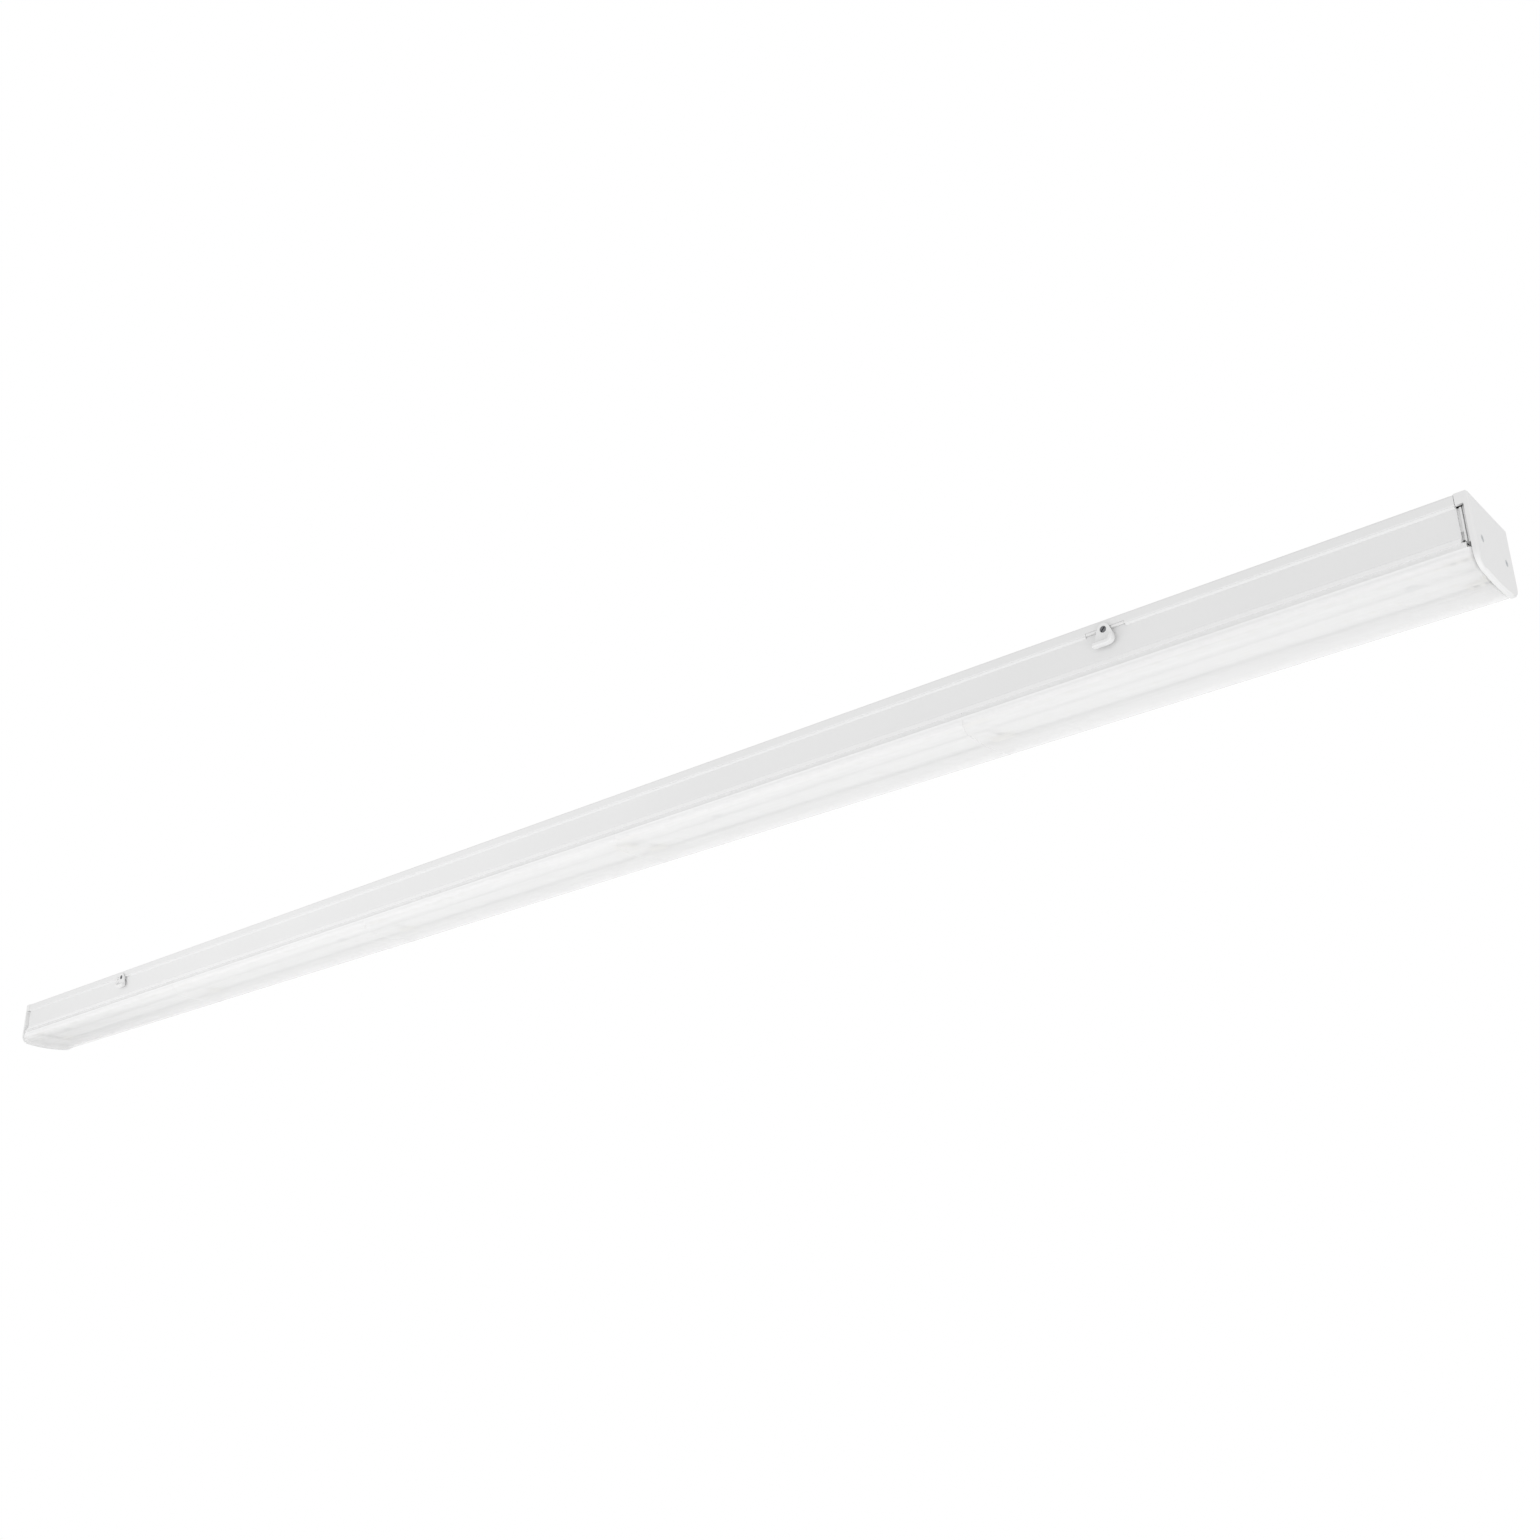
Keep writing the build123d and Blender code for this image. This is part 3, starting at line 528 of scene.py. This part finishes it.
def skin(name):
    """Cover a solid with a welded copy whose curves are smooth."""
    shape = bmesh.new()
    shape.from_mesh(nodes[name].data)
    bmesh.ops.remove_doubles(shape, verts=shape.verts, dist=WELD_MM * MM)
    bmesh.ops.dissolve_limit(shape, angle_limit=math.radians(FLAT_DEGREES), verts=shape.verts,
                             edges=shape.edges)
    for face in shape.faces:
        face.smooth = True
    piece = add_piece(f"{name}_skin", shape, [finish[slot_of[name]]])
    piece.data.set_sharp_from_angle(angle=math.radians(CREASE_DEGREES))
    weighted = piece.modifiers.new("flat_faces", "WEIGHTED_NORMAL")
    weighted.keep_sharp = True
    stand_for(piece, name)


sides = ("right", "left")
corners = [f"{side}_{face}" for face in ("front", "back") for side in sides]
skinned = ["mounting_rail", "gear_tray", "led_carrier", "cable_grommet", "lead_bush"]
skinned += ["mains_leads", "led_leads"]
skinned += [f"{kind}_{side}" for kind in ("end_cap", "end_bracket", "catch_bracket") for side in sides]
skinned += [f"latch_{kind}_{corner}" for kind in ("lever", "pin", "cam") for corner in corners]
skinned += [f"lens_{number}" for number in NUMBERS]
for name in skinned:
    skin(name)
print("skinned", len(skinned), "solids")

# %% [markdown]
# LEDs
#
# An LED of this size is a white cup, 3 mm square, with a sunken window of phosphor. One is made from a cube:
# its upright edges are bevelled, and its lower face is inset twice, the second time inwards, so that the
# window lies below the rim. It is then copied along both rows, 21 on each board. It has few faces, because
# there are 210 of it.

# %% LEDs
LED_PITCH_MM = 16.0
LEDS_A_BOARD = 21
CUP_CORNER_MM = 0.35
CUP_RIM_MM = 0.28
WINDOW_SLOPE_MM = 0.12
WINDOW_SINK_MM = 0.15


def led_shape(size, height):
    """One LED on the origin, its seat at the top and its window below."""
    shape = cube_shape((size, size, height))
    upright = [edge for edge in shape.edges if abs(edge.verts[0].co.z - edge.verts[1].co.z) > height / 2]
    bevel(shape, upright, CUP_CORNER_MM, segments=1)
    window = facing(shape, (0, 0, -1))
    sink(shape, window, CUP_RIM_MM, WINDOW_SLOPE_MM, WINDOW_SINK_MM)
    for face in window:
        face.material_index = 1
    return to_mesh(shape, "led")


for row in ("front", "back"):
    low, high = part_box(f"led_chips_{row}")
    led = led_shape(high.y - low.y, high.z - low.z)
    rows = bmesh.new()
    for number in NUMBERS:
        board_low, board_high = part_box(f"led_board_{row}_{number}")
        for step in range(LEDS_A_BOARD):
            x = (board_low.x + board_high.x) / 2 + (step - (LEDS_A_BOARD - 1) / 2) * LED_PITCH_MM * MM
            add_copy(rows, led, Matrix.Translation((x, (low.y + high.y) / 2, (low.z + high.z) / 2)))
    piece = add_piece(f"led_row_{row}", rows, [led_cup, phosphor])
    stand_for(piece, f"led_chips_{row}")
    print("LED row", row, "with", len(piece.data.polygons), "faces")

# %% [markdown]
# Plugs between the boards
#
# Each row of boards is joined by small nylon plugs, two halves that meet in the middle. At the ends of a row
# a plug waits for another light, with its two square mouths open. All start as a cube: the edges are bevelled
# and the lower face is inset inwards, as the moulding is. An open end is cut in two, and both parts are inset
# to make the mouths. Two windows in the panel below are made in the same way. The floors of the mouths and
# windows are painted near black: painted shade for the dark inside them.

# %% Shape of a plug
PLUG_BEVEL_MM = 0.3
PANEL_RIM_MM = 0.5
PANEL_SINK_MM = 0.1
MOUTH_SPAN_MM = (0.0, 2.5)
MOUTH_WALL_MM = 0.4
MOUTH_DEPTH_MM = 2.5
WINDOW_SPAN_MM = (1.4, 5.2)
WINDOW_WALL_MM = 0.2
WINDOW_DEPTH_MM = 0.15
SHADE_GRAIN_MM = 0.5

# Painted shade: a near-black material for the floors of mouths and windows, where their inside lies in shade.
mouth_shade, tree, place, shader = new_material("painted_mouth_shade", {"Roughness": 0.6})
paint(tree, shader, noise(tree, place, SHADE_GRAIN_MM), "#101011", "#222224")


def sink_two(shape, faces, across, span_mm, wall_mm, depth_mm):
    """Sink two parts of a face, on either side of its middle, inside walls. Their floors take the painted
    shade.
    """
    direction = Vector(across)
    near, far = (limit * MM for limit in span_mm)
    parts = faces + [edge for face in faces for edge in face.edges]
    for offset in sorted({-far, -near, near, far}):
        cut = bmesh.ops.bisect_plane(shape, geom=parts, plane_co=direction * offset, plane_no=direction)
        parts = cut["geom"]
    cut_faces = only(parts, bmesh.types.BMFace)
    sunk = [face for face in cut_faces if near < abs(face.calc_center_median().dot(direction)) < far]
    bmesh.ops.inset_individual(shape, faces=sunk, thickness=wall_mm * MM, depth=0.0)
    bmesh.ops.inset_individual(shape, faces=sunk, thickness=0.0, depth=-depth_mm * MM)
    for face in sunk:
        face.material_index = 1


def plug_shape(size, open_end):
    """A plug on the origin with a sunken panel below. An open end has two mouths, at +X."""
    shape = cube_shape(size)
    bevel(shape, shape.edges[:], PLUG_BEVEL_MM, segments=1)
    panel = facing(shape, (0, 0, -1))
    sink(shape, panel, PANEL_RIM_MM, 0.0, PANEL_SINK_MM)
    if open_end:
        end = facing(shape, (1, 0, 0))
        sink_two(shape, end, (0, 1, 0), MOUTH_SPAN_MM, MOUTH_WALL_MM, MOUTH_DEPTH_MM)
        sink_two(shape, panel, (1, 0, 0), WINDOW_SPAN_MM, WINDOW_WALL_MM, WINDOW_DEPTH_MM)
    return to_mesh(shape, "plug")


print("made", mouth_shade.name)

# %% Place the plugs
PLUG_LENGTH_MM = 16.0
PLUG_WIDTH_MM = 5.0
PLUG_SPLIT_MM = 0.3

low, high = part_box("board_connectors")
middle_z = (low.z + high.z) / 2
row_y = high.y - PLUG_WIDTH_MM * MM / 2
half_length = (PLUG_LENGTH_MM - PLUG_SPLIT_MM) / 2 * MM
half_plug = plug_shape((half_length, PLUG_WIDTH_MM * MM, high.z - low.z), False)
end_plug = plug_shape((PLUG_LENGTH_MM * MM, PLUG_WIDTH_MM * MM, high.z - low.z), True)
half_shift = (half_length + PLUG_SPLIT_MM * MM) / 2
end_shift = PLUG_LENGTH_MM * MM / 2
boards = [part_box(f"led_board_back_{number}") for number in NUMBERS]
turned = Matrix.Rotation(math.pi, 4, "Z")
plugs = bmesh.new()
for y in (-row_y, row_y):
    for before, after in zip(boards, boards[1:]):
        joint = (before[1].x + after[0].x) / 2
        for x in (joint - half_shift, joint + half_shift):
            add_copy(plugs, half_plug, Matrix.Translation((x, y, middle_z)))
    add_copy(plugs, end_plug, Matrix.Translation((high.x - end_shift, y, middle_z)))
    add_copy(plugs, end_plug, Matrix.Translation((low.x + end_shift, y, middle_z)) @ turned)
board_plugs = add_piece("board_plugs", plugs, [finish["connector_white"], mouth_shade])
stand_for(board_plugs, "board_connectors")

low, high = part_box("feed_connector")
feed = bmesh.new()
add_copy(feed, plug_shape(high - low, False), Matrix.Translation((low + high) / 2))
feed_plug = add_piece("feed_plug", feed, [finish["connector_white"]])
stand_for(feed_plug, "feed_connector")
print("plugs with", len(board_plugs.data.polygons), "and", len(feed_plug.data.polygons), "faces")

# %% [markdown]
# Screws of the end caps
#
# Each end cap is held by two small screws with a cross recess. The top of the head is a grid of 5 by 5
# squares. The middle row and column are the cross: they are extruded inwards and shrunk a little, because the
# driver tapers. The border of the grid is then extruded step by step, and at each step its points are moved
# onto a circle: top, rim, side, seat and shank. That keeps every face in order, while bridging the square to
# a ready-made circle can twist them.

# %% End cap screws
RECESS_CELLS = 5
RECESS_CELL_MM = 0.5
RECESS_DEPTH_MM = 0.4
RECESS_TAPER = 0.6
HEAD_RADIUS_MM = 2.1
HEAD_HEIGHT_MM = 1.4
HEAD_EDGE_MM = 0.25
SHANK_RADIUS_MM = 1.25
SHANK_TAIL_MM = 4.0
SCREW_OFFSET_MM = 19.2
SCREW_DROP_MM = 25.8


def screw_shape(length):
    """A screw on the origin whose head looks up."""
    shape = bmesh.new()
    bmesh.ops.create_grid(shape, x_segments=RECESS_CELLS, y_segments=RECESS_CELLS,
                          size=RECESS_CELLS / 2 * RECESS_CELL_MM * MM)
    half_cell = RECESS_CELL_MM * MM / 2
    cross = [face for face in shape.faces if min(map(abs, face.calc_center_median().xy)) < half_cell]
    sunk = bmesh.ops.extrude_face_region(shape, geom=cross)["geom"]
    bmesh.ops.delete(shape, geom=cross, context="FACES")
    recess_floor = only(sunk, bmesh.types.BMVert)
    bmesh.ops.translate(shape, verts=recess_floor, vec=(0, 0, -RECESS_DEPTH_MM * MM))
    bmesh.ops.scale(shape, verts=recess_floor, vec=(RECESS_TAPER, RECESS_TAPER, 1))
    ring = [edge for edge in shape.edges if edge.is_boundary]
    seat = -HEAD_HEIGHT_MM
    outline = [(HEAD_RADIUS_MM - HEAD_EDGE_MM, 0.0), (HEAD_RADIUS_MM, -HEAD_EDGE_MM), (HEAD_RADIUS_MM, seat),
               (SHANK_RADIUS_MM, seat), (SHANK_RADIUS_MM, -length / MM)]
    for radius, height in outline:
        step = bmesh.ops.extrude_edge_only(shape, edges=ring)["geom"]
        ring = only(step, bmesh.types.BMEdge)
        for vert in {vert for edge in ring for vert in edge.verts}:
            vert.co = Vector((*(vert.co.xy.normalized() * radius), height)) * MM
    bmesh.ops.holes_fill(shape, edges=ring, sides=4 * RECESS_CELLS)
    bmesh.ops.recalc_face_normals(shape, faces=shape.faces)
    return to_mesh(shape, "screw")


low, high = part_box("end_cap_screws")
_, bracket_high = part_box("end_bracket_right")
screw = screw_shape(high.x - bracket_high.x + SHANK_TAIL_MM * MM)
screws = bmesh.new()
for y in (-SCREW_OFFSET_MM * MM, SCREW_OFFSET_MM * MM):
    for end, angle in ((high.x, math.pi / 2), (low.x, -math.pi / 2)):
        spot = Matrix.Translation((end, y, -SCREW_DROP_MM * MM))
        add_copy(screws, screw, spot @ Matrix.Rotation(angle, 4, "Y"))
cap_screws = add_piece("end_cap_screw_heads", screws, [zinc])
stand_for(cap_screws, "end_cap_screws")
print("screws with", len(cap_screws.data.polygons), "faces")

# %% [markdown]
# Pads beside the latches
#
# The inward flange of the rail has a gap at each latch. Two white pads fill it, one on either side of the
# latch's boss, so that the lever runs over an even edge. Each is a cube with bevelled edges.

# %% Latch pads
LATCH_X_MM = 617.0
PAD_X_MM = (4.4, 13.8)
PAD_Y_MM = (29.25, 30.95)
PAD_Z_MM = (-7.15, -5.6)
BLOCK_BEVEL_MM = 0.25


def block_shape(spans_mm):
    """A bevelled block between two limits along each axis."""
    size = [(high - low) * MM for low, high in spans_mm]
    middle = Vector([(low + high) / 2 * MM for low, high in spans_mm])
    shape = cube_shape(size, middle)
    bevel(shape, shape.edges[:], BLOCK_BEVEL_MM, segments=2)
    return to_mesh(shape, "block")


pad = block_shape((PAD_X_MM, PAD_Y_MM, PAD_Z_MM))
pads = bmesh.new()
for latch_x in (-LATCH_X_MM, LATCH_X_MM):
    latch_place = Matrix.Translation((latch_x * MM, 0, 0))
    for turn in (1, -1):
        for face in (1, -1):
            add_copy(pads, pad, latch_place @ Matrix.Diagonal((turn, face, 1.0, 1.0)))
bmesh.ops.recalc_face_normals(pads, faces=pads.faces)
latch_pads = add_piece("latch_pads", pads, [finish["white_plastic"]])
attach(latch_pads, nodes["mounting_rail"]["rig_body"])
print("pads with", len(latch_pads.data.polygons), "faces")

# %% [markdown]
# Seals along the lens and the rail
#
# A white seal closes the groove between the rounded corner of the tray and the skirt of the lens, and keeps
# dust out. At its ends a block of the same silicone stands behind each slot beside the end cap, between the
# tray's wall and the end bracket. A smaller plastic bead lies in the corner between the rail's flange and the
# tray, and stops at the latches. Seal and bead have a triangle as their section. The section is a face,
# extruded along the light, and the other side is its mirror image, whose normals have to be recalculated
# because mirroring turns faces inside out.

# %% Seals
SEAL_END_MM = 836.8
SEAL_SECTION_MM = ((28.78, -26.6), (30.5, -30.37), (27.8, -30.37))
BEAD_SECTION_MM = ((29.02, -7.22), (30.6, -7.22), (29.02, -8.3))
BEAD_GAP_MM = 14.4
BLOCK_X_MM = (834.5, 838.7)
BLOCK_Y_MM = (26.0, 27.05)
BLOCK_Z_MM = (-27.3, -7.4)


def add_strip(shape, section_mm, start_mm, end_mm):
    """Add a strip to a bmesh: a section in Y and Z, drawn out along X."""
    face = shape.faces.new([shape.verts.new((start_mm * MM, y * MM, z * MM)) for y, z in section_mm])
    drawn = bmesh.ops.extrude_face_region(shape, geom=[face])["geom"]
    moved = only(drawn, bmesh.types.BMVert)
    bmesh.ops.translate(shape, verts=moved, vec=((end_mm - start_mm) * MM, 0, 0))


def add_seals(name, shape, material, carrier):
    """Mirror a shape to the other side of the light and make it a piece that rides on a carrier."""
    copied = bmesh.ops.duplicate(shape, geom=shape.verts[:] + shape.edges[:] + shape.faces[:])["geom"]
    bmesh.ops.scale(shape, verts=only(copied, bmesh.types.BMVert), vec=(1, -1, 1))
    bmesh.ops.recalc_face_normals(shape, faces=shape.faces)
    piece = add_piece(name, shape, [material])
    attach(piece, nodes[carrier]["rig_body"])
    print(name, "with", len(piece.data.polygons), "faces")


seal = bmesh.new()
add_strip(seal, SEAL_SECTION_MM, -SEAL_END_MM, SEAL_END_MM)
for side in (1, -1):
    span_x = sorted(side * x for x in BLOCK_X_MM)
    add_copy(seal, block_shape((span_x, BLOCK_Y_MM, BLOCK_Z_MM)), Matrix())
add_seals("lens_seals", seal, silicone, "gear_tray")

bead = bmesh.new()
stops = [-SEAL_END_MM, -LATCH_X_MM - BEAD_GAP_MM, BEAD_GAP_MM - LATCH_X_MM]
stops += [-stop for stop in reversed(stops)]
for start, end in zip(stops[::2], stops[1::2]):
    add_strip(bead, BEAD_SECTION_MM, start, end)
add_seals("rail_beads", bead, finish["white_plastic"], "mounting_rail")
